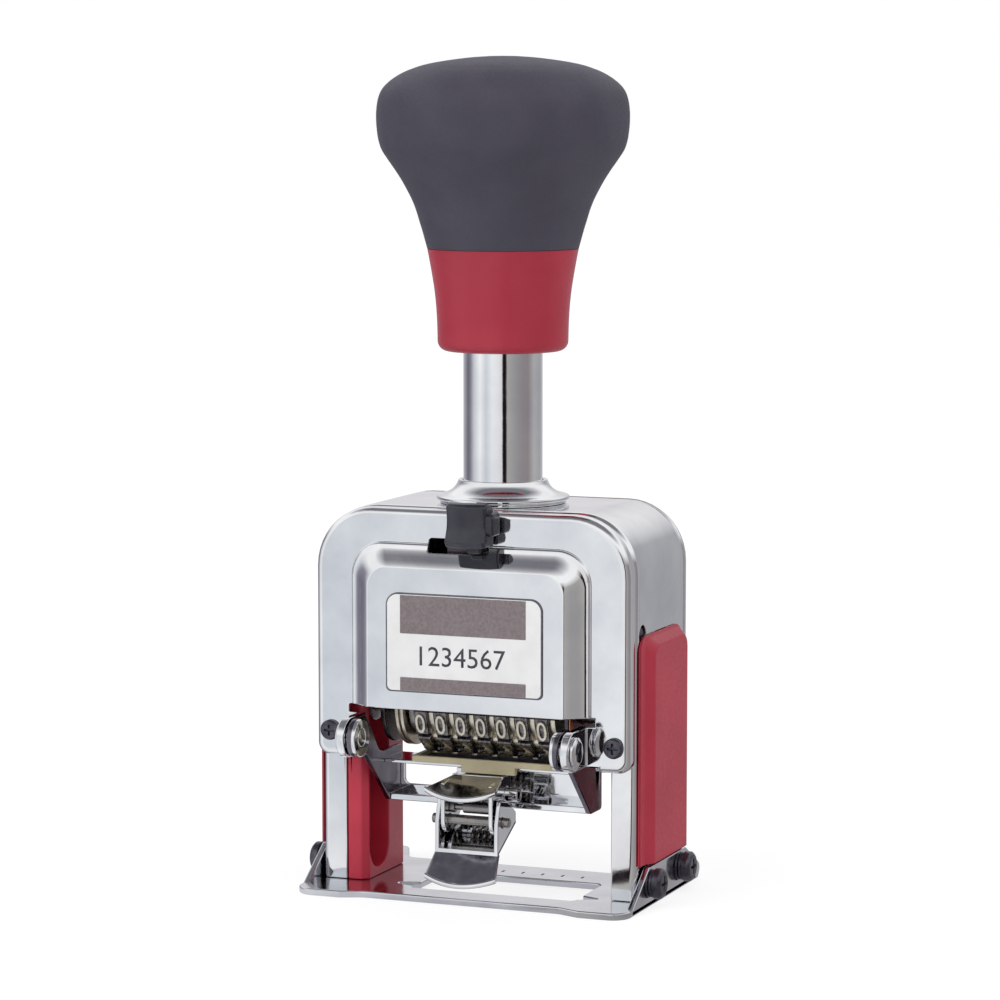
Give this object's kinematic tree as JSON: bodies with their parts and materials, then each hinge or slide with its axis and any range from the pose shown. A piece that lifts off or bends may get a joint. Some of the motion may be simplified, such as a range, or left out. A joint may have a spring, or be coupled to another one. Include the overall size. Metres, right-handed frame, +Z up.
{
  "type": "numbering machine",
  "caption": "Hand numbering stamp: number wheels under a sprung plunger with knob handle, swinging ink pad with pinch latch, plated frame, red guides and guards.",
  "frame": {"origin": "on the plunger's axis, in the plane of the base plate's underside", "axes": "+Z up along the plunger, -Y to the front with the name plate, +X to the right seen from the front"},
  "size_m": [0.0684, 0.0484, 0.151],
  "materials": {
    "plated_steel": "bright nickel or chrome plate",
    "plain_steel": "turned and polished",
    "copper_alloy": "bare spring strip",
    "red_moulding": "satin moulded",
    "black_grip": "soft matt moulded",
    "black_screw": "black oxide",
    "black_moulding": "satin moulded",
    "cream_moulding": "plain moulded",
    "ink_felt": "inked felt",
    "label_plate": "printed plate"
  },
  "bodies": {
    "housing": {"frame": "plated_steel", "front_cover": "plated_steel", "rear_cover": "plated_steel", "name_plate": "label_plate", "base_plate": "plated_steel", "left_guide": "red_moulding", "right_guide": "red_moulding", "left_guard": "red_moulding", "right_guard": "red_moulding", "top_collar": "plated_steel", "collar_nut": "plain_steel", "spring_bar": "plain_steel", "stop_pin": "plain_steel", "cover_screw_left": "black_screw", "cover_screw_right": "black_screw", "rear_screw_left": "black_screw", "rear_screw_right": "black_screw", "base_screw_left_front": "black_screw", "base_screw_left_rear": "black_screw", "base_screw_right_front": "black_screw", "base_screw_right_rear": "black_screw", "pivot_pin_left": "plated_steel", "pivot_pin_right": "plated_steel"},
    "plunger": {"plunger_tube": "plated_steel", "spring_plug": "plain_steel", "return_spring": "plain_steel", "handle_collar": "red_moulding", "handle_grip": "black_grip", "carriage": "plain_steel", "leaf_spring": "copper_alloy", "wheel_shaft": "plain_steel", "left_slider": "plain_steel", "right_slider": "plain_steel", "shaft_spacer": "plain_steel"},
    "feed": {"feed_frame": "plain_steel", "pawl_comb": "plain_steel"},
    "pad": {"pad_frame": "plated_steel", "pad_case": "cream_moulding", "ink_pad": "ink_felt", "upper_grip": "plated_steel", "latch_pin": "plain_steel", "grip_spacer": "plain_steel", "cross_tube": "plated_steel", "latch_spring": "plain_steel"},
    "latch": {"latch_lever": "plated_steel"},
    "selector": {"selector_knob": "black_moulding", "selector_slide": "plain_steel"},
    "wheel_1": {"number_wheel_1": "plain_steel"},
    "wheel_2": {"number_wheel_2": "plain_steel"},
    "wheel_3": {"number_wheel_3": "plain_steel"},
    "wheel_4": {"number_wheel_4": "plain_steel"},
    "wheel_5": {"number_wheel_5": "plain_steel"},
    "wheel_6": {"number_wheel_6": "plain_steel"},
    "wheel_7": {"number_wheel_7": "plain_steel"}
  },
  "joints": [
    {"name": "press", "type": "slide", "parent": "housing", "child": "plunger", "axis": [0, 0, -1], "range_m": [0, 0.0248], "stiffness_N_per_m": 180, "springref_m": -0.05, "deforming": ["return_spring"]},
    {"name": "pad_swing", "type": "hinge", "parent": "housing", "child": "pad", "pos_m": [0, -0.022, 0.0293], "axis": [-1, 0, 0], "range_deg": [0, 98]},
    {"name": "latch_squeeze", "type": "hinge", "parent": "pad", "child": "latch", "pos_m": [0, -0.0155, 0.0145], "axis": [-1, 0, 0], "range_deg": [0, 20], "stiffness_Nm_per_rad": 0.02, "springref_deg": -17.19},
    {"name": "selector_shift", "type": "slide", "parent": "housing", "child": "selector", "axis": [-1, 0, 0], "range_m": [0, 0.0075]},
    {"name": "feed_swing", "type": "hinge", "parent": "plunger", "child": "feed", "pos_m": [0, -0.007, 0.0343], "axis": [1, 0, 0], "range_deg": [0, 40]},
    {"name": "wheel_1_turn", "type": "hinge", "parent": "plunger", "child": "wheel_1", "pos_m": [-0.0093, -0.007, 0.0343], "axis": [1, 0, 0], "continuous": true},
    {"name": "wheel_2_turn", "type": "hinge", "parent": "plunger", "child": "wheel_2", "pos_m": [-0.0054, -0.007, 0.0343], "axis": [1, 0, 0], "continuous": true},
    {"name": "wheel_3_turn", "type": "hinge", "parent": "plunger", "child": "wheel_3", "pos_m": [-0.0015, -0.007, 0.0343], "axis": [1, 0, 0], "continuous": true},
    {"name": "wheel_4_turn", "type": "hinge", "parent": "plunger", "child": "wheel_4", "pos_m": [0.0024, -0.007, 0.0343], "axis": [1, 0, 0], "continuous": true},
    {"name": "wheel_5_turn", "type": "hinge", "parent": "plunger", "child": "wheel_5", "pos_m": [0.0063, -0.007, 0.0343], "axis": [1, 0, 0], "continuous": true},
    {"name": "wheel_6_turn", "type": "hinge", "parent": "plunger", "child": "wheel_6", "pos_m": [0.0102, -0.007, 0.0343], "axis": [1, 0, 0], "continuous": true},
    {"name": "wheel_7_turn", "type": "hinge", "parent": "plunger", "child": "wheel_7", "pos_m": [0.0141, -0.007, 0.0343], "axis": [1, 0, 0], "continuous": true}
  ],
  "couplings": [
    {"joint": "pad_swing", "follows": "press", "rad_per_m": 68.9},
    {"joint": "feed_swing", "follows": "press", "rad_per_m": 28.1}
  ]
}
